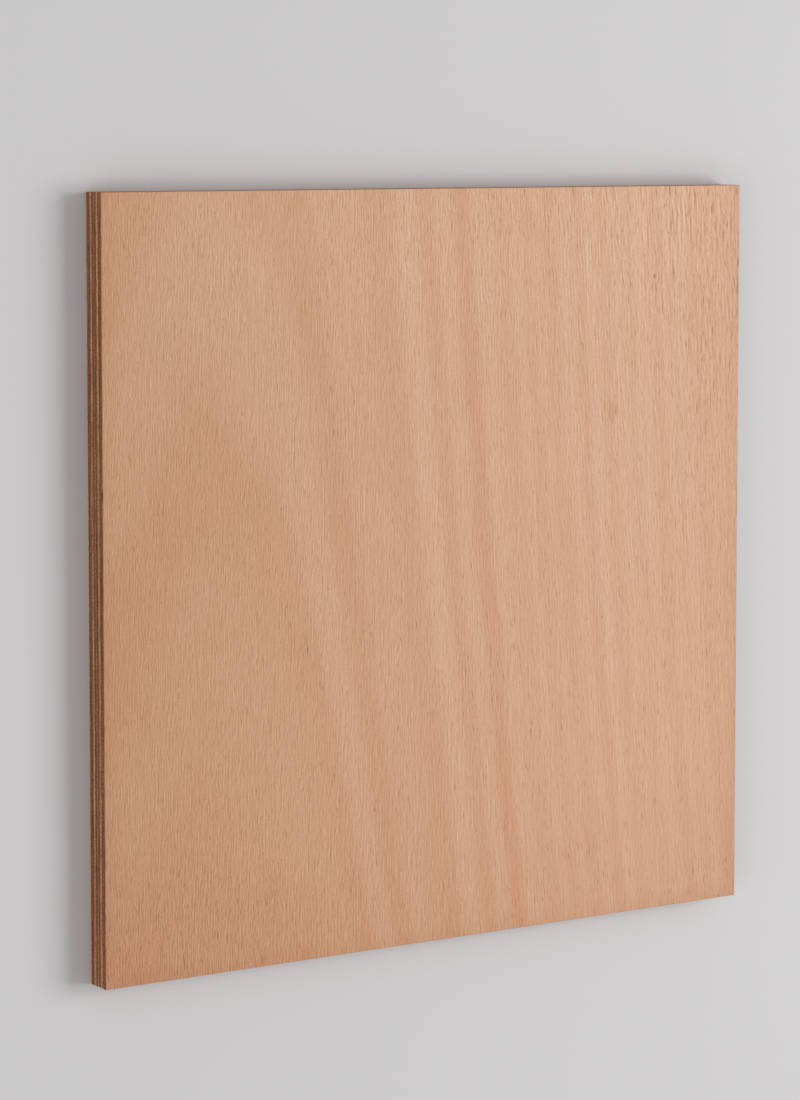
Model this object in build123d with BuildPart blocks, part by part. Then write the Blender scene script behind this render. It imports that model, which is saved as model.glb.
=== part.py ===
from build123d import *
import os

# Plywood sheet: plies glued face to face, sawn square, lying on its back with the face veneer up.
# X runs across the face grain, Y along it and Z up through the thickness, in millimetres.
# The origin is the middle of the back.

# Sawn size of the sheet
sheet_width = 300.0  # across the face grain
sheet_length = 300.0  # along the face grain

# Thickness of each kind of ply
face_veneer_thickness = 0.5
back_veneer_thickness = 0.5
crossband_thickness = 2.2
long_ply_thickness = 1.7
core_crossband_thickness = 1.1
centre_ply_thickness = 1.0

# Width of the sharp edge that sanding takes off the outside of the two outer veneers
arris = 0.2

# Lay-up from the back to the face, balanced about the centre ply.
# The grain of each ply lies across that of its neighbours: veneers, long plies and the
# centre ply run along Y, and the crossbands run along X.
core_layup = [
    ("back_crossband", crossband_thickness),
    ("back_long_ply", long_ply_thickness),
    ("back_core_crossband", core_crossband_thickness),
    ("centre_ply", centre_ply_thickness),
    ("face_core_crossband", core_crossband_thickness),
    ("face_long_ply", long_ply_thickness),
    ("face_crossband", crossband_thickness),
]


def make_core_ply(name, glue_line, thickness):
    """A ply between two glue lines, whose sawn edges are flush with its neighbours'."""
    with BuildPart() as core_ply:
        with BuildSketch(Plane.XY.offset(glue_line)):
            Rectangle(sheet_width, sheet_length)
        extrude(amount=thickness)
    core_ply.part.label = name
    return core_ply.part


def make_outer_veneer(name, glue_plane, thickness):
    """An outer veneer, raised from its one glue line, with the arris sanded off its outside."""
    with BuildPart() as veneer:
        with BuildSketch(glue_plane):
            Rectangle(sheet_width, sheet_length)
        extrude(amount=thickness)
        outside = veneer.faces().sort_by(Axis(glue_plane.origin, glue_plane.z_dir))[-1]
        chamfer(outside.edges(), length=arris)
    veneer.part.label = name
    return veneer.part


# The back veneer hangs below its glue line, and the face veneer stands on the last one
back_glue_plane = Plane.XY.offset(back_veneer_thickness).rotated((180, 0, 0))
plies = [make_outer_veneer("back_veneer", back_glue_plane, back_veneer_thickness)]

glue_height = back_veneer_thickness
for ply_name, ply_thickness in core_layup:
    plies.append(make_core_ply(ply_name, glue_height, ply_thickness))
    glue_height += ply_thickness

face_glue_plane = Plane.XY.offset(glue_height)
plies.append(make_outer_veneer("face_veneer", face_glue_plane, face_veneer_thickness))

os.makedirs("parts", exist_ok=True)
for ply in plies:
    export_step(ply, f"parts/{ply.label}.step")
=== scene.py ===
import math

import bmesh
import bpy
from bpy.props import FloatProperty, FloatVectorProperty, IntProperty, PointerProperty
from mathutils import Matrix, Vector


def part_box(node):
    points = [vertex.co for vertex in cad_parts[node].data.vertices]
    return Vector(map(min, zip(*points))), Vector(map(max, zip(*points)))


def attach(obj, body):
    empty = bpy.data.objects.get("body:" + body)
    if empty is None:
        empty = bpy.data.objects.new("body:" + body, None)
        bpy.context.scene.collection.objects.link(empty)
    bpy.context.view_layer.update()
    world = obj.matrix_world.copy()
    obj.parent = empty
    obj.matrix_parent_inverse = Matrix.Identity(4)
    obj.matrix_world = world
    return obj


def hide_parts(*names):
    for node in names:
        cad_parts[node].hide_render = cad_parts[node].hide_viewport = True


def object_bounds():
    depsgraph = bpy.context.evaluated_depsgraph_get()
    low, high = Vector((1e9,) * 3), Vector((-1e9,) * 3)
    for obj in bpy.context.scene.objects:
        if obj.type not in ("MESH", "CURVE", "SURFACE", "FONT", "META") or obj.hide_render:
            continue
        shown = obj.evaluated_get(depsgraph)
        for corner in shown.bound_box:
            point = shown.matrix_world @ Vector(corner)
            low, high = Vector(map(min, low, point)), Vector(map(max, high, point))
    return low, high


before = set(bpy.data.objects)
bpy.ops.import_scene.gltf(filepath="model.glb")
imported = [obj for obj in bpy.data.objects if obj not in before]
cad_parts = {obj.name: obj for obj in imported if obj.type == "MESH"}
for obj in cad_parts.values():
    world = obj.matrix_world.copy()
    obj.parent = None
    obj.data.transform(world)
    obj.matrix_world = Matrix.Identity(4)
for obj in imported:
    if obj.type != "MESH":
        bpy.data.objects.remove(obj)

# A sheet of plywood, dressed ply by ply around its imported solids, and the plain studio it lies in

bl_info = {
    "name": "Plywood Sheet",
    "version": (1, 0, 0),
    "blender": (4, 5, 0),
    "location": "View3D > Sidebar > Plywood",
    "description": "Dresses the plies of a plywood sheet with veneer figure and sawn edges",
    "category": "Object",
}

CAD_LOW, CAD_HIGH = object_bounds()
SHEET = CAD_HIGH - CAD_LOW
BODY = "root"
MM = 0.001
# Heights and places that differ by less than these, in metres, are the same
SAME_HEIGHT = 1e-7
SAME_CAP = 1e-6
# A size in millimetres so large that a pattern doesn't change along that axis
ENDLESS = 1e6
WHITE = (1.0, 1.0, 1.0)

# The plies with their grain along Y and along X, by the names of their solids
FACE_VENEER = "face_veneer"
BACK_VENEER = "back_veneer"
LONG_PLIES = ("face_long_ply", "back_long_ply")
CENTRE_PLIES = ("centre_ply",)
CROSS_PLIES = ("face_crossband", "face_core_crossband", "back_core_crossband", "back_crossband")

# The four sawn sides: name, axis that they face along, which end of it
SIDES = (("left", 0, -1), ("right", 0, 1), ("foot", 1, -1), ("head", 1, 1))

# Growth rings of the face: where each meets the foot edge, in millimetres from the middle
# of the flame, and how pale (above 0) or dark (below 0) it is
FACE_RINGS = (
    (0, -3), (18, -3), (27, -5), (33, -1), (40, 1), (46, -2), (51, -7), (54, -2), (59, 9), (63, 7),
    (69, -8), (75, 3), (80, 3), (87, 0), (94, -6), (102, 12), (107, 3), (112, -6), (116, 7), (121, 0),
    (126, -13), (131, 6), (137, 1), (143, -3), (147, 5), (153, -5), (157, 3), (162, -5), (171, 6),
    (176, -6), (181, 10), (187, -3), (193, 6), (200, -1), (204, 8), (213, -5), (217, 7), (221, 0),
    (224, 6), (233, -5), (237, 0), (241, -2), (249, 1), (254, -5), (260, -3),
)
# The flame's axis: where it crosses the middle of the sheet in millimetres, its lean and its bow
AXIS_PLACE, AXIS_LEAN, AXIS_BOW = 55.6, 0.0446, 1.17e-4
# The flame's point: its place across, how far its flanks spread right and left, and how round it is
POINT_PLACE, POINT_RIGHT, POINT_LEFT, POINT_ROUND = 38.0, 15.0, -25.0, 300.0
# How narrow the rings' parabolas are
RING_NARROW = 0.078
# Painted light and shade across the face: how light it is at places across it in millimetres, from 0 to 1
FACE_PAINTED_LIGHT = (
    (0, 0.13), (12, 0.26), (30, 0.37), (75, 0.59), (120, 0.74),
    (150, 0.79), (180, 0.82), (225, 0.83), (262, 0.73), (300, 0.16),
)
# How far the fibres lean to the right on their way down, as a slope, at places across the face
FACE_LEAN = (
    (0, -0.02), (25, -0.03), (75, -0.035), (125, -0.014),
    (175, 0.03), (225, 0.075), (275, 0.04), (300, 0.03),
)
# Steepest lean that the curve of the fibres can hold
STEEPEST = 0.1
# Places where a part of the face begins and ends, across or down it in millimetres,
# with the values that it has there
# Painted light at the head and painted shade towards the foot, added to the face's painted light
HEAD_PAINTED_LIGHT = (0.0, 75.0, 0.38, 0.0)
FOOT_PAINTED_SHADE_DEPTH, FOOT_PAINTED_SHADE = 60.0, -0.26
HEAD_DOWN, HEAD_ACROSS = (0.0, 85.0, 1.0, 0.0), (40.0, 140.0)
FOOT_DOWN, FOOT_ACROSS = (200.0, 290.0), (50.0, 150.0, 1.0, 0.0)
RIGHT_ACROSS, RIGHT_DOWN = (215.0, 290.0), (30.0, 150.0, 0.78, 0.25)
LOW_RIGHT_ACROSS, LOW_RIGHT_DOWN = (150.0, 220.0), (150.0, 230.0)
# Width of the painted shade along the rim
RIM_PAINTED_SHADE_WIDTH = 8.0
FOOT_TINT_START = 60.0
# How clearly the fibres show across the face
FIBRE_CONTRAST = (20.0, 240.0, 1.18, 0.73)
# Marks in the face: across and down in millimetres, half width, half length and shade
FACE_MARKS = (
    (234.0, 91.0, 4.0, 7.5, (0.94, 0.84, 0.66)),
    (236.4, 91.6, 0.6, 2.8, (0.66, 0.53, 0.38)),
    (256.0, 37.0, 0.7, 1.6, (0.42, 0.20, 0.04)),
    (230.0, 176.0, 0.4, 1.0, (0.48, 0.31, 0.14)),
    (89.0, 178.0, 0.5, 2.5, (0.57, 0.42, 0.26)),
)
# Fibres: their length in millimetres and how much darker (below 0) or paler (above 0) they are
FIBRES = ((4.0, -0.20), (4.5, 0.17), (9.0, -0.20), (10.5, 0.17), (26.0, -0.17), (30.0, 0.15))
# Length in millimetres of the specks between them, and how much they show
SPECK_LENGTH, SPECKLED = 0.9, 0.31
# Width of a fibre in millimetres, the turn of the lattice that it is drawn on, and the noise
# at which it begins to show and is full
FIBRE_WIDTH, FIBRE_TURN, FIBRE_BEGINS, FIBRE_FULL = 0.5, 0.6, 0.59, 0.72
# Place of the weaker fibre beside each one, in widths, and its share
BESIDE, BESIDE_SHARE = 1.2, -0.45
# How far along its length the pattern of the fibres moves on for each millimetre of height
FIBRE_CLIMB = 12.0
# Pores: their size in millimetres, the size of the places where they gather and by how much,
# and the noise at which they show where they are fine and where they are coarse
PORE_SIZE, PORE_GATHERING, PORE_GATHERED = (0.30, 5.0, 0.45), (9.0, 60.0, 3.0), -0.16
PORE_FINE, PORE_COARSE, PORE_RAMP = 0.75, 0.67, 0.12
# Depth of the grain's relief, and the share of it that fibres have beside pores
GRAIN_DEPTH, FIBRE_RISE = 0.06 * MM, 0.4
# Depth of the fine relief of a sawn ply
SAWN_DEPTH = 0.12 * MM

# Shades that lie over the wood, each from one colour to another
FIBRE_SHADES = ((0.80, 0.73, 0.58), (1.20, 1.27, 1.44))
# Painted light and shade of the face, from its darkest to its lightest
FACE_PAINTED_LIGHT_COLOURS = ((0.888, 0.839, 0.782), (1.005, 1.030, 1.096))
FOOT_SHADES = ((1.0, 1.008, 1.0), (1.006, 0.988, 1.006))
# Painted shade along the rim
RIM_PAINTED_SHADES = (WHITE, (0.95, 0.91, 0.87))
STREAK_SHADES = ((0.66, 0.62, 0.58), (1.30, 1.34, 1.38))
PATCH_SHADES = ((0.84, 0.83, 0.82), (1.16, 1.17, 1.18))
TINT_SHADES = ((1.05, 0.95, 0.90), (0.96, 1.03, 1.04))
TICK_SHADES = ((0.84, 0.83, 0.81), (1.22, 1.23, 1.25))
TORN_SHADES = (WHITE, (0.62, 0.56, 0.50))

# Hollows that the saw opened in the sides: ply, side, place along the side in millimetres,
# place through the ply from 0 at its back to 1 at its face, then half length, half height and depth
HOLLOWS = (
    ("back_core_crossband", "left", 58.0, 0.5, 1.6, 0.38, 0.9),
    ("back_core_crossband", "left", -105.0, 0.6, 0.9, 0.20, 0.6),
    ("face_crossband", "left", -20.0, 0.4, 0.7, 0.25, 0.5),
    ("face_veneer", "left", -128.0, 1.0, 0.7, 0.25, 0.3),
    ("back_veneer", "left", -126.0, 0.0, 0.9, 0.30, 0.4),
    ("face_core_crossband", "right", 72.0, 0.5, 1.9, 0.38, 1.0),
    ("back_crossband", "right", -46.0, 0.6, 1.0, 0.45, 0.6),
    ("back_long_ply", "foot", 37.6, 0.5, 1.7, 0.45, 1.0),
    ("centre_ply", "foot", -92.0, 0.5, 1.1, 0.28, 0.8),
    ("face_long_ply", "head", -64.0, 0.5, 1.8, 0.45, 1.0),
    ("face_veneer", "head", 12.0, 1.0, 0.8, 0.25, 0.3),
)


class PlywoodSettings(bpy.types.PropertyGroup):
    """Sizes of the details that sawing and sanding leave on the plies."""

    groove: FloatProperty(
        name="Glue Groove", description="Width of the bevel that sanding leaves at each glue line",
        default=0.06 * MM, min=0.0, unit="LENGTH")
    arris: FloatProperty(
        name="Arris", description="Width of the sharp edge taken off the outer veneers",
        default=0.2 * MM, min=0.0, unit="LENGTH")
    sawn_relief: FloatProperty(
        name="Sawn Relief", description="Depth of the unevenness of a sawn ply",
        default=0.12 * MM, min=0.0, unit="LENGTH")
    chip_depth: FloatProperty(
        name="Chip Depth", description="Depth of the chips that the saw tears out of a veneer's edge",
        default=0.3 * MM, min=0.0, unit="LENGTH")
    cuts_along: IntProperty(
        name="Cuts Along", description="Cuts along each sawn side, which the relief needs",
        default=399, min=9, max=999)


class PlywoodColours(bpy.types.PropertyGroup):
    """Colours of the veneers and plies."""

    face_pale: FloatVectorProperty(
        name="Face Pale Ring", description="Palest growth ring of the face veneer",
        subtype="COLOR", size=3, min=0.0, max=1.0, default=(0.554, 0.312, 0.161))
    face_dark: FloatVectorProperty(
        name="Face Dark Ring", description="Darkest growth ring of the face veneer",
        subtype="COLOR", size=3, min=0.0, max=1.0, default=(0.514, 0.238, 0.104))
    pore: FloatVectorProperty(
        name="Pore", description="Shade that an open pore lays over the wood",
        subtype="COLOR", size=3, min=0.0, max=1.0, default=(0.62, 0.44, 0.16))
    side_grain: FloatVectorProperty(
        name="Side Grain", description="Sawn ply cut along its fibres",
        subtype="COLOR", size=3, min=0.0, max=1.0, default=(0.470, 0.240, 0.138))
    thin_grain: FloatVectorProperty(
        name="Thin Side Grain", description="Sawn centre ply or veneer cut along its fibres",
        subtype="COLOR", size=3, min=0.0, max=1.0, default=(0.350, 0.165, 0.088))
    end_grain: FloatVectorProperty(
        name="End Grain", description="Sawn ply cut across its fibres",
        subtype="COLOR", size=3, min=0.0, max=1.0, default=(0.255, 0.100, 0.043))
    glue: FloatVectorProperty(
        name="Glue", description="Dark glue line between two plies",
        subtype="COLOR", size=3, min=0.0, max=1.0, default=(0.07, 0.028, 0.013))


class PlywoodStage(bpy.types.PropertyGroup):
    """Floor, light and camera."""

    floor: FloatVectorProperty(
        name="Floor", description="Colour of the plain floor",
        subtype="COLOR", size=3, min=0.0, max=1.0, default=(0.602, 0.591, 0.594))
    sky: FloatProperty(
        name="Sky", description="Strength of the even light from all around",
        default=0.5, min=0.0)
    key_power: FloatProperty(
        name="Key Power", description="Power of the large lamp to the right of the sheet",
        default=30.0, min=0.0, unit="POWER")
    key_place: FloatVectorProperty(
        name="Key Place", description="Middle of the large lamp", subtype="XYZ", unit="LENGTH",
        default=(1.5, 0.03, 1.35))
    key_size: FloatProperty(
        name="Key Size", description="Side of the large square lamp",
        default=1.2, min=0.01, unit="LENGTH")
    fill_power: FloatProperty(
        name="Fill Power", description="Power of the weaker lamp to the left of the sheet",
        default=7.0, min=0.0, unit="POWER")
    fill_place: FloatVectorProperty(
        name="Fill Place", description="Middle of the weaker lamp", subtype="XYZ", unit="LENGTH",
        default=(-1.6, -0.4, 0.9))
    camera_place: FloatVectorProperty(
        name="Camera Place", description="Where the camera stands", subtype="XYZ", unit="LENGTH",
        default=(-0.7513, 0.1741, 1.1495))
    camera_aim: FloatVectorProperty(
        name="Camera Aim", description="Point of the face that the camera looks at", subtype="XYZ",
        unit="LENGTH", default=(-0.0184, 0.0689, 0.012))
    camera_lens: FloatProperty(
        name="Lens", description="Focal length on a sensor 36 mm tall, in millimetres",
        default=113.3, min=1.0)
    camera_shift: FloatProperty(
        name="Shift", description="Fall of the lens, which keeps the sheet's sides upright",
        default=-0.14)


# Node trees

def put(tree, socket, value):
    """Links a value that is another node's output, and sets any other."""
    if isinstance(value, bpy.types.NodeSocket):
        tree.links.new(value, socket)
    else:
        socket.default_value = value


def math_node(tree, operation, *values, clamp=False):
    """A Math node's output."""
    node = tree.nodes.new("ShaderNodeMath")
    node.operation = operation
    node.use_clamp = clamp
    for socket, value in zip(node.inputs, values):
        put(tree, socket, value)
    return node.outputs[0]


def vector_node(tree, operation, *values):
    """A Vector Math node's output, the value where the operation gives one."""
    node = tree.nodes.new("ShaderNodeVectorMath")
    node.operation = operation
    for socket, value in zip(node.inputs, values):
        put(tree, socket, value)
    return node.outputs["Value" if operation == "LENGTH" else "Vector"]


def spread(tree, value, low, high, to_low=0.0, to_high=1.0, smooth=True):
    """A value between two limits, spread over two others."""
    node = tree.nodes.new("ShaderNodeMapRange")
    node.interpolation_type = "SMOOTHSTEP" if smooth else "LINEAR"
    for name, number in (("Value", value), ("From Min", low), ("From Max", high),
                         ("To Min", to_low), ("To Max", to_high)):
        put(tree, node.inputs[name], number)
    return node.outputs["Result"]


def stretch(tree, vector, scale, move=(0.0, 0.0, 0.0), turn=(0.0, 0.0, 0.0)):
    """A vector scaled, turned and then moved."""
    node = tree.nodes.new("ShaderNodeMapping")
    put(tree, node.inputs["Vector"], vector)
    node.inputs["Scale"].default_value = scale
    node.inputs["Location"].default_value = move
    node.inputs["Rotation"].default_value = turn
    return node.outputs["Vector"]


def noise(tree, vector, size, move=(0.0, 0.0, 0.0), detail=2.0, flat_turn=None):
    """Noise whose features have about the given sizes along X, Y and Z.

    With flat_turn, an angle, it is drawn in X and Y alone, on a lattice turned by that angle.
    """
    node = tree.nodes.new("ShaderNodeTexNoise")
    if flat_turn is not None:
        node.noise_dimensions = "2D"
    turn = (0.0, 0.0, flat_turn or 0.0)
    put(tree, node.inputs["Vector"], stretch(tree, vector, [1.0 / s for s in size], move, turn))
    node.inputs["Scale"].default_value = 1.0
    node.inputs["Detail"].default_value = detail
    return node.outputs["Fac"]


def curve(tree, value, points, low, high):
    """A value from 0 to 1, read off a smooth curve through points.

    Their heights lie between low and high.
    """
    node = tree.nodes.new("ShaderNodeFloatCurve")
    put(tree, node.inputs["Value"], value)
    last = points[-1][0]
    line = node.mapping.curves[0]
    heights = [(x / last, (y - low) / (high - low)) for x, y in points]
    line.points[0].location = heights[0]
    line.points[1].location = heights[-1]
    for place in heights[1:-1]:
        line.points.new(*place)
    node.mapping.update()
    return node.outputs["Value"]


def blend(tree, factor, first, second, kind="MIX"):
    """Two colours mixed."""
    node = tree.nodes.new("ShaderNodeMix")
    node.data_type = "RGBA"
    node.blend_type = kind
    sockets = [s for s in node.inputs if s.enabled]
    for socket, value in zip(sockets, (factor, first, second)):
        put(tree, socket, value)
    return [s for s in node.outputs if s.enabled][0]


def rgb(colour):
    """A colour with its alpha."""
    return (*colour, 1.0)


def multiply(tree, colour, factor, low, high):
    """A colour multiplied by a shade between two others."""
    return blend(tree, 1.0, colour, blend(tree, factor, rgb(low), rgb(high)), "MULTIPLY")


def new_group(name, inputs, outputs):
    """An empty shader node group with named sockets, and its two end nodes."""
    tree = bpy.data.node_groups.new(name, "ShaderNodeTree")
    for socket, kind in inputs:
        tree.interface.new_socket(socket, in_out="INPUT", socket_type=kind)
    for socket, kind in outputs:
        tree.interface.new_socket(socket, in_out="OUTPUT", socket_type=kind)
    return tree, tree.nodes.new("NodeGroupInput").outputs, tree.nodes.new("NodeGroupOutput").inputs


def use_group(tree, name, values):
    """The outputs of a group placed in a tree, with its inputs given by name."""
    node = tree.nodes.new("ShaderNodeGroup")
    node.node_tree = group(name)
    for socket, value in values.items():
        put(tree, node.inputs[socket], value)
    return node.outputs


def fibres_group():
    """Fibres and open pores of a hardwood, whose grain runs along the vector's Y, in millimetres."""
    tree, given, made = new_group(
        "wood_fibres",
        (("Vector", "NodeSocketVector"), ("Coarse", "NodeSocketFloat")),
        (("Fibre", "NodeSocketFloat"), ("Pore", "NodeSocketFloat")))
    place = given["Vector"]

    # Fibres are drawn flat, and further on at each height, so that no side of a ply shows one drawn out
    split = tree.nodes.new("ShaderNodeSeparateXYZ")
    put(tree, split.inputs["Vector"], place)
    across, along, height = split.outputs
    join = tree.nodes.new("ShaderNodeCombineXYZ")
    put(tree, join.inputs["X"], math_node(tree, "ADD", across, height))
    put(tree, join.inputs["Y"], math_node(tree, "MULTIPLY_ADD", height, FIBRE_CLIMB, along))
    drawn = join.outputs["Vector"]
    turn, width = FIBRE_TURN, FIBRE_WIDTH
    specks = noise(tree, drawn, (width, SPECK_LENGTH, 1.0), (7.0, 3.0, 0.0), detail=0.0, flat_turn=turn)
    fibre = math_node(tree, "MULTIPLY_ADD", specks, SPECKLED, 0.5 - SPECKLED / 2)
    for number, (length, weight) in enumerate(FIBRES):
        # Each has a weaker one of the other shade beside it, by turns on its left and on its right
        beside = BESIDE if number % 4 < 2 else -BESIDE
        for step, share in ((0.0, 1.0), (beside, BESIDE_SHARE)):
            begin = (5.0 * length + step * math.cos(turn), 9.0 * length + step * math.sin(turn), 0.0)
            strands = noise(tree, drawn, (width, length, 1.0), begin, detail=0.0, flat_turn=turn)
            strands = spread(tree, strands, FIBRE_BEGINS, FIBRE_FULL)
            fibre = math_node(tree, "MULTIPLY_ADD", strands, weight * share, fibre)
    put(tree, made["Fibre"], fibre)

    # Pores are thin dark dashes that gather in some places
    dashes = noise(tree, place, PORE_SIZE, (11.0, 57.0, 5.0), detail=1.0)
    gathered = noise(tree, place, PORE_GATHERING, (2.0, 4.0, 6.0), detail=1.0)
    limit = spread(tree, given["Coarse"], 0.0, 1.0, PORE_FINE, PORE_COARSE)
    limit = math_node(tree, "MULTIPLY_ADD", gathered, PORE_GATHERED, limit)
    put(tree, made["Pore"], spread(tree, math_node(tree, "SUBTRACT", dashes, limit), 0.0, PORE_RAMP))
    return tree


def grain_group():
    """A wood's colour with its fibres and pores laid over it."""
    tree, given, made = new_group(
        "wood_grain",
        (("Color", "NodeSocketColor"), ("Fibre", "NodeSocketFloat"), ("Pore", "NodeSocketFloat"),
         ("Contrast", "NodeSocketFloat"), ("Pore Shade", "NodeSocketColor")),
        (("Color", "NodeSocketColor"),))
    from_mean = math_node(tree, "SUBTRACT", given["Fibre"], 0.5)
    fibre = math_node(tree, "MULTIPLY_ADD", from_mean, given["Contrast"], 0.5)
    fibrous = multiply(tree, given["Color"], fibre, *FIBRE_SHADES)
    pored = blend(tree, 1.0, fibrous, given["Pore Shade"], "MULTIPLY")
    put(tree, made["Color"], blend(tree, given["Pore"], fibrous, pored))
    return tree


def figure_group():
    """The flame of the face: its rings, the painted light and shade over it and along its rim, and its place
    as the leaning fibres see it.

    The vector is in millimetres, from the left edge and down from the head edge.
    """
    tree, given, made = new_group(
        "flame_figure",
        (("Vector", "NodeSocketVector"),),
        (("Ring", "NodeSocketFloat"), ("Shade", "NodeSocketFloat"), ("Rim", "NodeSocketFloat"),
         ("Foot", "NodeSocketFloat"), ("Along Fibres", "NodeSocketVector"),
         ("Coarse", "NodeSocketFloat"), ("Contrast", "NodeSocketFloat")))
    width, length = SHEET.x / MM, SHEET.y / MM
    split = tree.nodes.new("ShaderNodeSeparateXYZ")
    put(tree, split.inputs["Vector"], given["Vector"])
    across, down, height = split.outputs
    below_middle = math_node(tree, "SUBTRACT", down, length / 2)

    # Far from the flame the rings are parabolas round an axis that leans and bows a little
    slow = noise(tree, given["Vector"], (40.0, 85.0, ENDLESS), detail=1.0)
    slow = math_node(tree, "SUBTRACT", slow, 0.5)
    quick = noise(tree, given["Vector"], (9.0, 45.0, ENDLESS), detail=1.0)
    quick = math_node(tree, "SUBTRACT", quick, 0.5)
    wander = math_node(tree, "MULTIPLY_ADD", slow, 4.0, math_node(tree, "MULTIPLY", quick, 1.6))
    wandered = math_node(tree, "ADD", across, wander)
    squared = math_node(tree, "MULTIPLY", below_middle, below_middle)
    lean = math_node(tree, "MULTIPLY_ADD", below_middle, AXIS_LEAN, AXIS_PLACE)
    axis = math_node(tree, "MULTIPLY_ADD", squared, AXIS_BOW, lean)
    flank = math_node(tree, "MAXIMUM", math_node(tree, "SUBTRACT", wandered, axis), 0.0)
    parabola = math_node(tree, "MULTIPLY", flank, flank)

    # Near its middle the flame comes to a point
    off = math_node(tree, "SUBTRACT", wandered, POINT_PLACE)
    point_right = math_node(tree, "MULTIPLY", math_node(tree, "MAXIMUM", off, 0.0), POINT_RIGHT)
    point_left = math_node(tree, "MULTIPLY", math_node(tree, "MINIMUM", off, 0.0), POINT_LEFT)
    flame = math_node(tree, "SMOOTH_MAX", point_right, parabola, POINT_ROUND)
    flame = math_node(tree, "ADD", flame, point_left)
    rise = math_node(tree, "MULTIPLY_ADD", down, -1 / RING_NARROW, length / RING_NARROW)
    ring = math_node(tree, "SQRT", math_node(tree, "ADD", flame, rise))
    tone = curve(tree, math_node(tree, "DIVIDE", ring, FACE_RINGS[-1][0]), FACE_RINGS, -15, 15)

    # The tone is a little uneven within a ring
    small = noise(tree, given["Vector"], (11.0, 30.0, ENDLESS), (6.0, 2.0, 0.0))
    small = math_node(tree, "SUBTRACT", small, 0.5)
    large = noise(tree, given["Vector"], (45.0, 70.0, ENDLESS), (1.0, 8.0, 0.0))
    large = math_node(tree, "SUBTRACT", large, 0.5)
    tone = math_node(tree, "MULTIPLY_ADD", small, 0.3, tone)
    put(tree, made["Ring"], math_node(tree, "MULTIPLY_ADD", large, 0.25, tone))
    # Painted light and shade: darker on the left and at the right edge, lightest right of the middle,
    # lighter at the head and on the lower right, darker towards the foot
    shade = curve(tree, math_node(tree, "DIVIDE", across, width), FACE_PAINTED_LIGHT, 0.0, 1.0)
    painted_shade_at_foot = spread(tree, down, length - FOOT_PAINTED_SHADE_DEPTH, length, 0.0, FOOT_PAINTED_SHADE)
    painted_light_at_head = spread(tree, down, *HEAD_PAINTED_LIGHT)
    painted_light_at_ends = math_node(tree, "ADD", painted_shade_at_foot, painted_light_at_head)
    right_half = spread(tree, across, *LOW_RIGHT_ACROSS)
    low_right = math_node(tree, "MULTIPLY", right_half, spread(tree, down, *LOW_RIGHT_DOWN))
    painted_light_at_ends = math_node(tree, "MULTIPLY_ADD", low_right, 0.16, painted_light_at_ends)
    put(tree, made["Shade"], math_node(tree, "ADD", shade, painted_light_at_ends))

    # Painted shade: the rim is darker along the left, right and foot edges, and along the foot it stands for
    # a contact shadow
    from_right = math_node(tree, "SUBTRACT", width, across)
    from_foot = math_node(tree, "SUBTRACT", length, down)
    inward = math_node(tree, "MINIMUM", math_node(tree, "MINIMUM", across, from_right), from_foot)
    put(tree, made["Rim"], spread(tree, inward, 0.0, RIM_PAINTED_SHADE_WIDTH, 1.0, 0.0, smooth=False))

    # The fibres lean by their own slope, most on the right, and are finest on the left
    slope = curve(tree, math_node(tree, "DIVIDE", across, width), FACE_LEAN, -STEEPEST, STEEPEST)
    slope = math_node(tree, "MULTIPLY_ADD", slope, 2 * STEEPEST, -STEEPEST)
    followed = math_node(tree, "SUBTRACT", across, math_node(tree, "MULTIPLY", slope, below_middle))
    fineness = math_node(tree, "MULTIPLY_ADD", followed, -0.00085, 1.18)
    join = tree.nodes.new("ShaderNodeCombineXYZ")
    finer = math_node(tree, "MULTIPLY", followed, fineness)
    shorter = math_node(tree, "MULTIPLY", down, math_node(tree, "MULTIPLY", fineness, fineness))
    for socket, value in zip(join.inputs, (finer, shorter, height)):
        put(tree, socket, value)
    put(tree, made["Along Fibres"], join.outputs["Vector"])

    # Pores are coarser on the upper right, at the head away from its left end and at the left of the foot
    head = spread(tree, down, *HEAD_DOWN)
    head = math_node(tree, "MULTIPLY", head, spread(tree, across, *HEAD_ACROSS))
    foot = spread(tree, down, *FOOT_DOWN)
    foot = math_node(tree, "MULTIPLY", foot, spread(tree, across, *FOOT_ACROSS))
    right = spread(tree, across, *RIGHT_ACROSS)
    right = math_node(tree, "MULTIPLY", right, spread(tree, down, *RIGHT_DOWN))
    ends = math_node(tree, "MULTIPLY_ADD", foot, 0.6, math_node(tree, "MULTIPLY", head, 0.45))
    put(tree, made["Coarse"], math_node(tree, "MAXIMUM", right, ends))

    # The fibres show most on the left and at those ends, and least on the lower right
    contrast = spread(tree, across, *FIBRE_CONTRAST)
    contrast = math_node(tree, "MULTIPLY_ADD", low_right, -0.08, contrast)
    contrast = math_node(tree, "MULTIPLY_ADD", head, 0.35, contrast)
    put(tree, made["Contrast"], math_node(tree, "MULTIPLY_ADD", foot, 0.3, contrast))
    put(tree, made["Foot"], spread(tree, down, FOOT_TINT_START, length, smooth=False))
    return tree


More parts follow.
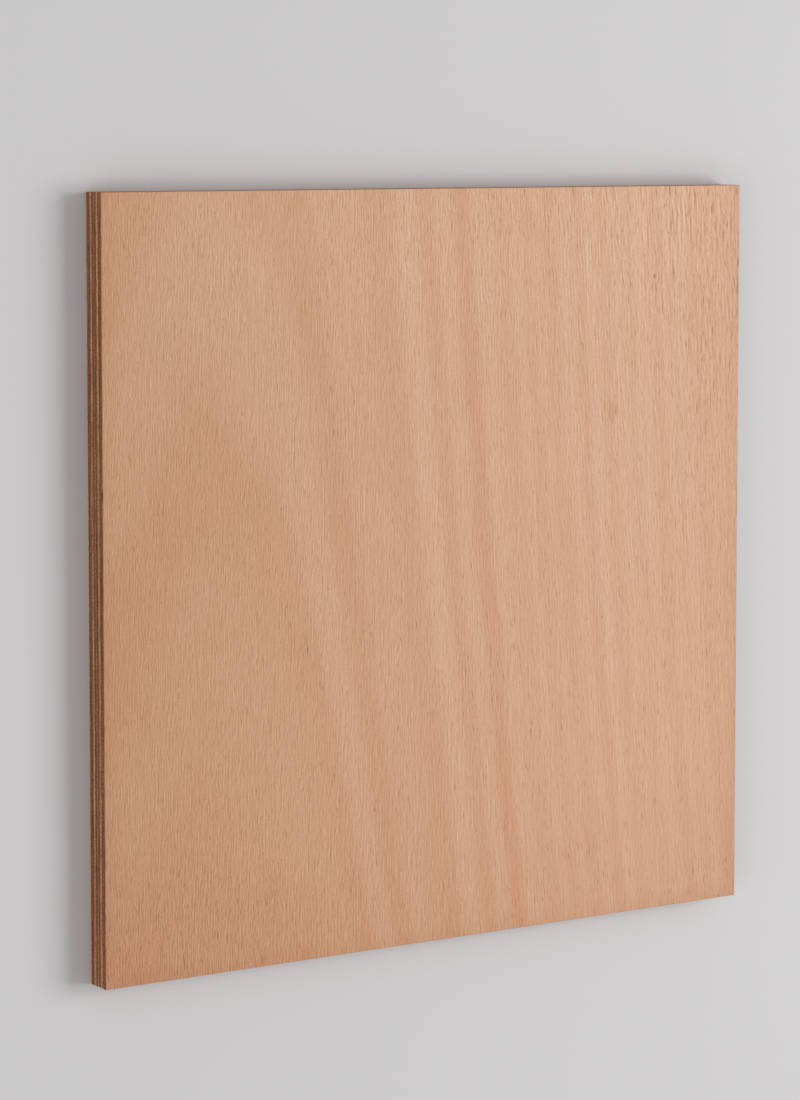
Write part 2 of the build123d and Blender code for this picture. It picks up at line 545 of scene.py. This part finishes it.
def sawn_group():
    """The sawn sides of a ply: side grain or end grain, streaks, marks of the saw, and glue lines.

    The vector is in millimetres and the normal is the object's own.
    """
    tree, given, made = new_group(
        "sawn_ply",
        (("Vector", "NodeSocketVector"), ("Normal", "NodeSocketVector"),
         ("Fibres Along Y", "NodeSocketFloat"), ("Side Grain", "NodeSocketColor"),
         ("End Grain", "NodeSocketColor"), ("Glue", "NodeSocketColor")),
        (("Color", "NodeSocketColor"), ("Side", "NodeSocketFloat"), ("Relief", "NodeSocketFloat")))
    place = given["Vector"]
    normal = tree.nodes.new("ShaderNodeSeparateXYZ")
    put(tree, normal.inputs["Vector"], given["Normal"])
    facing_x, facing_y, facing_up = (math_node(tree, "ABSOLUTE", part) for part in normal.outputs)
    put(tree, made["Side"], spread(tree, facing_up, 0.45, 0.65, 1.0, 0.0))
    on_x = math_node(tree, "GREATER_THAN", facing_x, facing_y)
    end = math_node(tree, "ABSOLUTE", math_node(tree, "SUBTRACT", on_x, given["Fibres Along Y"]))
    split = tree.nodes.new("ShaderNodeSeparateXYZ")
    put(tree, split.inputs["Vector"], place)

    streaks = spread(tree, noise(tree, place, (90.0, 90.0, 0.42), (4.0, 2.0, 8.0), detail=1.0), 0.3, 0.7)
    patches = spread(tree, noise(tree, place, (9.0, 9.0, 0.8), (1.0, 7.0, 2.0), detail=1.5), 0.3, 0.7)
    tints = spread(tree, noise(tree, place, (60.0, 60.0, 2.0), (9.0, 1.0, 3.0), detail=1.0), 0.35, 0.65)
    ticks = spread(tree, noise(tree, place, (0.8, 0.8, 1.4), (3.0, 5.0, 0.0), detail=1.0), 0.3, 0.7)
    torn = spread(tree, noise(tree, place, (1.1, 1.1, 0.9), (6.0, 2.0, 4.0), detail=1.0), 0.56, 0.66)
    put(tree, made["Relief"], ticks)
    grain = blend(tree, end, given["Side Grain"], given["End Grain"])
    streaked = multiply(tree, grain, streaks, *STREAK_SHADES)
    patched = multiply(tree, streaked, patches, *PATCH_SHADES)
    tinted = multiply(tree, patched, tints, *TINT_SHADES)
    ticked = multiply(tree, tinted, ticks, *TICK_SHADES)

    # The saw tore out more of the end grain, and more towards the foot
    tearing = math_node(tree, "MULTIPLY_ADD", end, 0.8, 0.2)
    uneven = spread(tree, split.outputs["Y"], 30.0, 0.65 * SHEET.y / MM, 0.35, 1.0)
    torn = math_node(tree, "MULTIPLY", torn, math_node(tree, "MULTIPLY", uneven, tearing))
    ticked = multiply(tree, ticked, torn, *TORN_SHADES)

    # A dark stop in the ramp at the height of each glue line
    thickness = SHEET.z / MM
    plies = (*LONG_PLIES, *CENTRE_PLIES, *CROSS_PLIES, FACE_VENEER)
    half_line = 0.2
    ramp = tree.nodes.new("ShaderNodeValToRGB")
    stops = ramp.color_ramp.elements
    for line in sorted(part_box(node)[0].z / MM for node in plies):
        for offset, shade in ((-half_line, 0.0), (0.0, 1.0), (half_line, 0.0)):
            stop = stops.new((line + offset) / thickness)
            stop.color = (shade, shade, shade, 1.0)
    stops[0].color = (0.0, 0.0, 0.0, 1.0)
    stops[-1].color = (0.0, 0.0, 0.0, 1.0)
    put(tree, ramp.inputs["Fac"], math_node(tree, "DIVIDE", split.outputs["Z"], thickness))
    patchy = spread(tree, noise(tree, place, (14.0, 14.0, 1.5)), 0.35, 0.6, 0.6, 1.0)
    glued = math_node(tree, "MULTIPLY", ramp.outputs["Color"], patchy)
    put(tree, made["Color"], blend(tree, glued, ticked, given["Glue"]))
    return tree


def mark_group():
    """A small mark in the wood: 1 at its centre and 0 outside its half sizes, all in millimetres."""
    tree, given, made = new_group(
        "grain_mark",
        (("Vector", "NodeSocketVector"), ("Centre", "NodeSocketVector"), ("Half Size", "NodeSocketVector")),
        (("Mask", "NodeSocketFloat"),))
    from_centre = vector_node(tree, "SUBTRACT", given["Vector"], given["Centre"])
    ragged = math_node(tree, "MULTIPLY_ADD", noise(tree, given["Vector"], (0.7, 3.0, ENDLESS)), 0.8, 0.6)
    reach = vector_node(tree, "LENGTH", vector_node(tree, "DIVIDE", from_centre, given["Half Size"]))
    put(tree, made["Mask"], spread(tree, math_node(tree, "MULTIPLY", reach, ragged), 0.25, 1.0, 1.0, 0.0))
    return tree


def group(name):
    """A node group by name, made the first time that a material asks for it."""
    makers = {"wood_fibres": fibres_group, "wood_grain": grain_group, "flame_figure": figure_group,
              "sawn_ply": sawn_group, "grain_mark": mark_group}
    return bpy.data.node_groups.get(name) or makers[name]()


def new_material(name):
    """A material with its Principled shader, and the object's own place and normal in millimetres."""
    material = bpy.data.materials.new(name)
    material.use_nodes = True
    tree = material.node_tree
    shader = tree.nodes["Principled BSDF"]
    where = tree.nodes.new("ShaderNodeTexCoord")
    # From the left edge, down from the head edge and up from the back
    corner = (SHEET.x / 2 / MM, SHEET.y / 2 / MM, 0.0)
    place = stretch(tree, where.outputs["Object"], (1 / MM, -1 / MM, 1 / MM), corner)
    return material, tree, shader, place, where.outputs["Normal"]


def add_bump(tree, shader, height, depth, strength):
    """Raises the surface by a height from 0 to 1."""
    node = tree.nodes.new("ShaderNodeBump")
    node.inputs["Strength"].default_value = strength
    node.inputs["Distance"].default_value = depth
    put(tree, node.inputs["Height"], height)
    put(tree, shader.inputs["Normal"], node.outputs["Normal"])


def raise_grain(tree, shader, wood, strength):
    """Raises the fibres of a veneer a little and sinks its pores."""
    risen = math_node(tree, "MULTIPLY", wood["Fibre"], FIBRE_RISE)
    add_bump(tree, shader, math_node(tree, "SUBTRACT", risen, wood["Pore"]), GRAIN_DEPTH, strength)


def finish_wood(tree, shader, colours, base, wood, contrast, roughness):
    """Lays the fibres and pores over a base colour, and sets how rough they leave it."""
    grain = use_group(tree, "wood_grain", {
        "Color": base, "Fibre": wood["Fibre"], "Pore": wood["Pore"], "Contrast": contrast,
        "Pore Shade": rgb(colours.pore)})
    put(tree, shader.inputs["Base Color"], grain["Color"])
    put(tree, shader.inputs["Roughness"], spread(tree, wood["Fibre"], 0.0, 1.0, *roughness))


def sawn_sides(tree, colours, place, normal, along_y, side_grain):
    """The outputs of the group for a ply's sawn sides."""
    return use_group(tree, "sawn_ply", {
        "Vector": place, "Normal": normal, "Fibres Along Y": 1.0 if along_y else 0.0,
        "Side Grain": rgb(side_grain), "End Grain": rgb(colours.end_grain), "Glue": rgb(colours.glue)})


def face_material(colours):
    """Reddish brown face veneer with its flame."""
    material, tree, shader, place, normal = new_material("face_veneer_figure")
    figure = use_group(tree, "flame_figure", {"Vector": place})
    wood = use_group(tree, "wood_fibres", {"Vector": figure["Along Fibres"], "Coarse": figure["Coarse"]})
    veneer = blend(tree, figure["Ring"], rgb(colours.face_dark), rgb(colours.face_pale))
    # Painted light and shade over the face, then a redder tint towards the foot
    veneer = multiply(tree, veneer, figure["Shade"], *FACE_PAINTED_LIGHT_COLOURS)
    veneer = multiply(tree, veneer, figure["Foot"], *FOOT_SHADES)
    # Painted shade along the rim
    veneer = multiply(tree, veneer, figure["Rim"], *RIM_PAINTED_SHADES)
    for across, down, half_width, half_length, shade in FACE_MARKS:
        mark = use_group(tree, "grain_mark", {
            "Vector": place, "Centre": (across, down, 0.0),
            "Half Size": (half_width, half_length, ENDLESS)})
        veneer = multiply(tree, veneer, mark["Mask"], WHITE, shade)
    sawn = sawn_sides(tree, colours, place, normal, True, colours.thin_grain)
    base = blend(tree, sawn["Side"], veneer, sawn["Color"])
    finish_wood(tree, shader, colours, base, wood, figure["Contrast"], (0.52, 0.44))
    raise_grain(tree, shader, wood, 0.35)
    return material


def back_material(colours):
    """Plainer back veneer of the same wood."""
    material, tree, shader, place, normal = new_material("back_veneer_plain")
    elsewhere = stretch(tree, place, (1.0, 1.0, 1.0), (137.0, 71.0, 40.0))
    wood = use_group(tree, "wood_fibres", {"Vector": elsewhere, "Coarse": 0.5})
    stripes = noise(tree, place, (12.0, 420.0, 4.0), (8.0, 0.0, 0.0))
    veneer = blend(tree, stripes, rgb(colours.face_dark), rgb(colours.face_pale))
    sawn = sawn_sides(tree, colours, place, normal, True, colours.thin_grain)
    base = blend(tree, sawn["Side"], veneer, sawn["Color"])
    finish_wood(tree, shader, colours, base, wood, 1.0, (0.68, 0.58))
    raise_grain(tree, shader, wood, 0.4)
    return material


def core_material(name, colours, along_y, side_grain):
    """Core ply, seen only on its sawn sides."""
    material, tree, shader, place, normal = new_material(name)
    turn = (0.0, 0.0, 0.0 if along_y else math.pi / 2)
    elsewhere = stretch(tree, place, (1.0, 1.0, 1.0), (53.0, 19.0, 0.0), turn)
    wood = use_group(tree, "wood_fibres", {"Vector": elsewhere, "Coarse": 0.6})
    sawn = sawn_sides(tree, colours, place, normal, along_y, side_grain)
    finish_wood(tree, shader, colours, sawn["Color"], wood, 1.1, (0.9, 0.75))
    shader.inputs["Specular IOR Level"].default_value = 0.2
    height = math_node(tree, "SUBTRACT", sawn["Relief"], math_node(tree, "MULTIPLY", wood["Pore"], 0.5))
    add_bump(tree, shader, height, SAWN_DEPTH, 0.35)
    return material


# Shapes

def start_block(name, low, high):
    """A block between two corners, with its place in its mesh."""
    bpy.ops.object.select_all(action="DESELECT")
    bpy.ops.mesh.primitive_cube_add(size=1.0, location=(low + high) / 2)
    block = bpy.context.object
    block.name = name
    block.data.name = name
    block.scale = high - low
    bpy.ops.object.transform_apply(location=True, rotation=True, scale=True)
    return block


def select_in_edit(piece, kind, wanted):
    """Selects the edges or faces that wanted() takes, in edit mode."""
    bpy.ops.mesh.select_mode(type=kind)
    bpy.ops.mesh.select_all(action="DESELECT")
    mesh = bmesh.from_edit_mesh(piece.data)
    for part in (mesh.edges if kind == "EDGE" else mesh.faces):
        if wanted(part):
            part.select_set(True)
    bmesh.update_edit_mesh(piece.data)


def runs_along(edge, axis):
    """Whether an edge runs along an axis."""
    line = edge.verts[1].co - edge.verts[0].co
    return abs(line[axis]) > 0.9 * line.length


def level(edge, height):
    """Whether both ends of an edge are at a height."""
    return all(abs(v.co.z - height) < SAME_HEIGHT for v in edge.verts)


def sawn_block(name, low, high, bevels, cuts_along, cuts_through):
    """A ply with bevelled rims and its sides cut fine enough to be uneven.

    bevels gives the width of the bevel at the lower and at the upper rim.
    """
    block = start_block(name, low, high)
    bpy.ops.object.mode_set(mode="EDIT")
    for height, width in zip((low.z, high.z), bevels):
        select_in_edit(block, "EDGE", lambda e: level(e, height))
        bpy.ops.mesh.bevel(offset=width, segments=1, affect="EDGES")
    select_in_edit(block, "FACE", lambda f: abs(f.normal.z) > 0.9)
    bpy.ops.mesh.delete(type="ONLY_FACE")
    if cuts_through:
        select_in_edit(block, "EDGE", lambda e: runs_along(e, 2))
        bpy.ops.mesh.subdivide(number_cuts=cuts_through)
    select_in_edit(block, "EDGE", lambda e: runs_along(e, 0) or runs_along(e, 1))
    bpy.ops.mesh.subdivide(number_cuts=cuts_along)
    for height in (low.z, high.z):
        select_in_edit(block, "EDGE", lambda e: level(e, height))
        bpy.ops.mesh.edge_face_add()
    bpy.ops.mesh.select_all(action="SELECT")
    bpy.ops.mesh.normals_make_consistent(inside=False)
    bpy.ops.object.mode_set(mode="OBJECT")
    return block


def cloud_texture(name, size, stops):
    """Clouds of a size, read through a ramp of stops: place and shade."""
    texture = bpy.data.textures.get(name)
    if texture:
        return texture
    texture = bpy.data.textures.new(name, "CLOUDS")
    texture.noise_scale = size
    texture.noise_depth = 2
    texture.use_color_ramp = True
    ramp = texture.color_ramp.elements
    for element, (place, shade) in zip((ramp[0], ramp[1]), (stops[0], stops[-1])):
        element.position = place
        element.color = (shade, shade, shade, 1.0)
    for place, shade in stops[1:-1]:
        element = ramp.new(place)
        element.color = (shade, shade, shade, 1.0)
    return texture


def roughen_sides(piece, low, high, depth, textures):
    """Takes the sides in by up to a depth, as a texture says for each axis."""
    reach = 0.3 * MM
    for side, axis, end in SIDES:
        edge = high[axis] if end > 0 else low[axis]
        verts = [v.index for v in piece.data.vertices if abs(v.co[axis] - edge) < reach]
        members = piece.vertex_groups.new(name=side)
        members.add(verts, 1.0, "REPLACE")
        modifier = piece.modifiers.new(side, "DISPLACE")
        modifier.texture = textures[axis]
        modifier.texture_coords = "LOCAL"
        modifier.direction = "XY"[axis]
        modifier.mid_level = 1.0
        modifier.strength = depth * end
        modifier.vertex_group = side
        bpy.ops.object.modifier_apply(modifier=side)
    piece.vertex_groups.clear()


def cut_hollows(piece, node, low, high):
    """Cuts the hollows of a ply out of its sides."""
    ragged = 0.08 * MM
    faces = {side: (axis, end) for side, axis, end in SIDES}
    for number, (ply, side, along, through, half_length, half_height, depth) in enumerate(HOLLOWS):
        if ply != node:
            continue
        axis, end = faces[side]
        centre = Vector((along * MM, along * MM, low.z + through * (high.z - low.z)))
        centre[axis] = high[axis] if end > 0 else low[axis]
        size = Vector((half_length * MM, half_length * MM, half_height * MM))
        size[axis] = depth * MM
        bpy.ops.object.select_all(action="DESELECT")
        bpy.ops.mesh.primitive_ico_sphere_add(subdivisions=3, radius=1.0, location=centre)
        cutter = bpy.context.object
        cutter.scale = size
        bpy.ops.object.transform_apply(location=True, rotation=True, scale=True)
        bpy.ops.object.mode_set(mode="EDIT")
        bpy.ops.mesh.select_all(action="SELECT")
        bpy.ops.transform.vertex_random(offset=ragged, seed=number)
        bpy.ops.object.mode_set(mode="OBJECT")
        hollow = piece.modifiers.new("hollow", "BOOLEAN")
        hollow.operation = "DIFFERENCE"
        hollow.solver = "EXACT"
        hollow.object = cutter
        bpy.context.view_layer.objects.active = piece
        bpy.ops.object.modifier_apply(modifier="hollow")
        bpy.data.objects.remove(cutter)


def nearest_side(place, low, high):
    """The number of the sawn side that a place is nearest to."""
    gaps = []
    for side, axis, end in SIDES:
        gaps.append(high[axis] - place[axis] if end > 0 else place[axis] - low[axis])
    return gaps.index(min(gaps))


def lay_out_map(piece, low, high, shown):
    """Lays out a map for baking, whose square goes to what shows: strips for the sides, and one cap.

    shown is the cap that shows, 1 for the upper and -1 for the lower, and 0 where both are hidden.
    """
    size = high - low
    gap, small = 0.005, 0.04
    large = 0.93 if shown else small
    first_strip = large + 2 * gap
    pitch = (1.0 - first_strip) / len(SIDES)
    mesh = bmesh.new()
    mesh.from_mesh(piece.data)
    layer = mesh.loops.layers.uv.new("OFBake")
    for face in mesh.faces:
        centre = face.calc_center_bounds()
        cap = 0
        for facing, height in ((-1, low.z), (1, high.z)):
            if abs(centre.z - height) < SAME_CAP:
                cap = facing
        number = nearest_side(centre, low, high)
        side, axis, end = SIDES[number]
        for loop in face.loops:
            # From 0 to 1 between the corners of the ply
            x, y, z = ((loop.vert.co[i] - low[i]) / size[i] for i in range(3))
            if cap:
                start, reach = (gap, large) if cap == (shown or 1) else (first_strip, small)
                loop[layer].uv = (start + reach * (x if cap > 0 else 1.0 - x), gap + reach * y)
            else:
                # Left to right as the side is seen from outside
                along = (1.0 - y, y)[end > 0] if axis == 0 else (x, 1.0 - x)[end > 0]
                height = first_strip + number * pitch + (pitch - gap) * z
                loop[layer].uv = (gap + (1.0 - 2 * gap) * along, height)
    mesh.to_mesh(piece.data)
    mesh.free()


def finish_piece(piece, node, material):
    """Gives a piece its finish and its place in the frame."""
    piece.data.materials.clear()
    piece.data.materials.append(material)
    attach(piece, BODY)
    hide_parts(node)


def make_veneer(settings, node, bevels, shown, material):
    """An outer veneer with its eased arris and torn edges.

    bevels and shown are those of sawn_block and lay_out_map.
    """
    low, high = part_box(node)
    veneer = sawn_block(node + "_sawn", low, high, bevels, settings.cuts_along, 0)
    roughen_sides(veneer, low, high, settings.chip_depth, veneer_textures())
    cut_hollows(veneer, node, low, high)
    lay_out_map(veneer, low, high, shown)
    finish_piece(veneer, node, material)


def core_textures():
    """Shallow relief of a sawn core ply, the same both ways."""
    rough = cloud_texture("sawn_core", 1.6 * MM, ((0.2, 0.0), (0.45, 0.75), (0.8, 1.0)))
    return rough, rough


def veneer_textures():
    """Slivers along the fibres on the sides, and chips across them on the head and foot."""
    slivers = cloud_texture("split_arris", 5.0 * MM, ((0.12, 0.0), (0.22, 0.92), (0.8, 1.0)))
    chips = cloud_texture("torn_arris", 1.8 * MM, ((0.14, 0.0), (0.26, 0.85), (0.8, 1.0)))
    return slivers, chips


# Operators

class PLYWOOD_OT_core_plies(bpy.types.Operator):
    """Make the core plies, long and cross, with their sawn sides"""

    bl_idname = "plywood.core_plies"
    bl_label = "Core Plies"

    def execute(self, context):
        settings = context.scene.plywood_sheet
        colours = context.scene.plywood_colours
        bevels = (settings.groove, settings.groove)
        cut_height = 0.6 * MM
        core = (
            ("long_ply", "long_ply_sawn", LONG_PLIES, True, colours.side_grain),
            ("long_ply", "centre_ply_sawn", CENTRE_PLIES, True, colours.thin_grain),
            ("crossband", "crossband_sawn", CROSS_PLIES, False, colours.side_grain),
        )
        for slot, finish, nodes, along_y, side_grain in core:
            material = core_material(finish, colours, along_y, side_grain)
            for node in nodes:
                low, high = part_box(node)
                cuts = round((high.z - low.z) / cut_height) - 1
                ply = sawn_block(node + "_sawn", low, high, bevels, settings.cuts_along, cuts)
                roughen_sides(ply, low, high, settings.sawn_relief, core_textures())
                cut_hollows(ply, node, low, high)
                lay_out_map(ply, low, high, 0)
                finish_piece(ply, node, material)
        return {"FINISHED"}


class PLYWOOD_OT_face_veneer(bpy.types.Operator):
    """Make the face veneer with its flame figure and eased arris"""

    bl_idname = "plywood.face_veneer"
    bl_label = "Face Veneer"

    def execute(self, context):
        settings = context.scene.plywood_sheet
        material = face_material(context.scene.plywood_colours)
        make_veneer(settings, FACE_VENEER, (settings.groove, settings.arris), 1, material)
        return {"FINISHED"}


class PLYWOOD_OT_back_veneer(bpy.types.Operator):
    """Make the plain back veneer, on which the sheet lies"""

    bl_idname = "plywood.back_veneer"
    bl_label = "Back Veneer"

    def execute(self, context):
        settings = context.scene.plywood_sheet
        material = back_material(context.scene.plywood_colours)
        make_veneer(settings, BACK_VENEER, (settings.arris, settings.groove), -1, material)
        return {"FINISHED"}


class PLYWOOD_OT_stage(bpy.types.Operator):
    """Make the floor, the lights and the camera"""

    bl_idname = "plywood.stage"
    bl_label = "Stage"

    def execute(self, context):
        stage = context.scene.plywood_stage
        make_floor(stage)
        make_sky(context.scene, stage)
        make_lamp("key_lamp", stage.key_place, stage.key_size, stage.key_power)
        make_lamp("fill_lamp", stage.fill_place, stage.key_size, stage.fill_power)
        make_camera(context.scene, stage)
        context.scene.view_settings.view_transform = "Standard"
        return {"FINISHED"}


def seen_directly(tree):
    """1 for what the camera sees, also in a mirror or through glass."""
    path = tree.nodes.new("ShaderNodeLightPath")
    mirrored = math_node(tree, "MAXIMUM", path.outputs["Is Glossy Ray"], path.outputs["Is Transmission Ray"])
    return math_node(tree, "MAXIMUM", path.outputs["Is Camera Ray"], mirrored)


def make_floor(stage):
    """A wide pale floor that fades to the colour of the background."""
    bpy.ops.object.select_all(action="DESELECT")
    under = (0.0, 0.0, CAD_LOW.z)
    radius, shadow_reach, plain_from = 25.0, 0.26, 0.75
    bpy.ops.mesh.primitive_circle_add(vertices=64, radius=radius, fill_type="NGON", location=under)
    floor = bpy.context.object
    floor.name = "floor"
    bpy.ops.object.transform_apply(location=True)
    material = bpy.data.materials.new("pale_floor")
    material.use_nodes = True
    tree = material.node_tree
    shader = tree.nodes["Principled BSDF"]
    shader.inputs["Base Color"].default_value = rgb(stage.floor)
    shader.inputs["Roughness"].default_value = 0.9
    shader.inputs["Specular IOR Level"].default_value = 0.1
    where = tree.nodes.new("ShaderNodeTexCoord")
    from_middle = vector_node(tree, "LENGTH", where.outputs["Object"])
    far = spread(tree, from_middle, shadow_reach, plain_from)
    glow = tree.nodes.new("ShaderNodeEmission")
    glow.inputs["Color"].default_value = rgb(stage.floor)
    mix = tree.nodes.new("ShaderNodeMixShader")
    put(tree, mix.inputs[0], math_node(tree, "MULTIPLY", far, seen_directly(tree)))
    put(tree, mix.inputs[1], shader.outputs["BSDF"])
    put(tree, mix.inputs[2], glow.outputs["Emission"])
    put(tree, tree.nodes["Material Output"].inputs["Surface"], mix.outputs["Shader"])
    floor.data.materials.append(material)


def make_sky(scene, stage):
    """Even light from all around, seen as the pale background."""
    world = bpy.data.worlds.new("studio")
    scene.world = world
    world.use_nodes = True
    tree = world.node_tree
    light = tree.nodes["Background"]
    light.inputs["Color"].default_value = rgb(WHITE)
    light.inputs["Strength"].default_value = stage.sky
    seen = tree.nodes.new("ShaderNodeBackground")
    seen.inputs["Color"].default_value = rgb(stage.floor)
    mix = tree.nodes.new("ShaderNodeMixShader")
    put(tree, mix.inputs[0], seen_directly(tree))
    put(tree, mix.inputs[1], light.outputs["Background"])
    put(tree, mix.inputs[2], seen.outputs["Background"])
    put(tree, tree.nodes["World Output"].inputs["Surface"], mix.outputs["Shader"])


def make_lamp(name, place, size, power):
    """A large soft lamp that faces the sheet."""
    bpy.ops.object.select_all(action="DESELECT")
    bpy.ops.object.light_add(type="AREA", location=place)
    lamp = bpy.context.object
    lamp.name = name
    lamp.data.shape = "SQUARE"
    lamp.data.size = size
    lamp.data.energy = power
    lamp.rotation_euler = (-Vector(place)).to_track_quat("-Z", "Y").to_euler()


def make_camera(scene, stage):
    """The camera, with the head edge of the sheet up in the picture."""
    bpy.ops.object.select_all(action="DESELECT")
    place = Vector(stage.camera_place)
    bpy.ops.object.camera_add(location=place)
    camera = bpy.context.object
    camera.name = "camera"
    back = (place - Vector(stage.camera_aim)).normalized()
    right = Vector((0.0, 1.0, 0.0)).cross(back).normalized()
    up = back.cross(right)
    camera.rotation_euler = Matrix((right, up, back)).transposed().to_euler()
    camera.data.sensor_width = 36.0
    camera.data.lens = stage.camera_lens
    camera.data.shift_y = stage.camera_shift
    scene.camera = camera


class VIEW3D_PT_plywood_sheet(bpy.types.Panel):
    """Lists the plies and the stage"""

    bl_label = "Plywood Sheet"
    bl_space_type = "VIEW_3D"
    bl_region_type = "UI"
    bl_category = "Plywood"

    def draw(self, context):
        scene = context.scene
        for operator in OPERATORS:
            self.layout.operator(operator.bl_idname)
        for settings in (scene.plywood_sheet, scene.plywood_colours, scene.plywood_stage):
            box = self.layout.box()
            for name in settings.__annotations__:
                box.prop(settings, name)


OPERATORS = (PLYWOOD_OT_core_plies, PLYWOOD_OT_back_veneer, PLYWOOD_OT_face_veneer, PLYWOOD_OT_stage)
CLASSES = (PlywoodSettings, PlywoodColours, PlywoodStage, *OPERATORS, VIEW3D_PT_plywood_sheet)


def register():
    for made in CLASSES:
        bpy.utils.register_class(made)
    bpy.types.Scene.plywood_sheet = PointerProperty(type=PlywoodSettings)
    bpy.types.Scene.plywood_colours = PointerProperty(type=PlywoodColours)
    bpy.types.Scene.plywood_stage = PointerProperty(type=PlywoodStage)


def unregister():
    del bpy.types.Scene.plywood_stage
    del bpy.types.Scene.plywood_colours
    del bpy.types.Scene.plywood_sheet
    for made in reversed(CLASSES):
        bpy.utils.unregister_class(made)


def main():
    """Makes the pieces and the stage."""
    register()
    bpy.ops.plywood.core_plies()
    bpy.ops.plywood.back_veneer()
    bpy.ops.plywood.face_veneer()
    bpy.ops.plywood.stage()


if __name__ == "__main__":
    main()
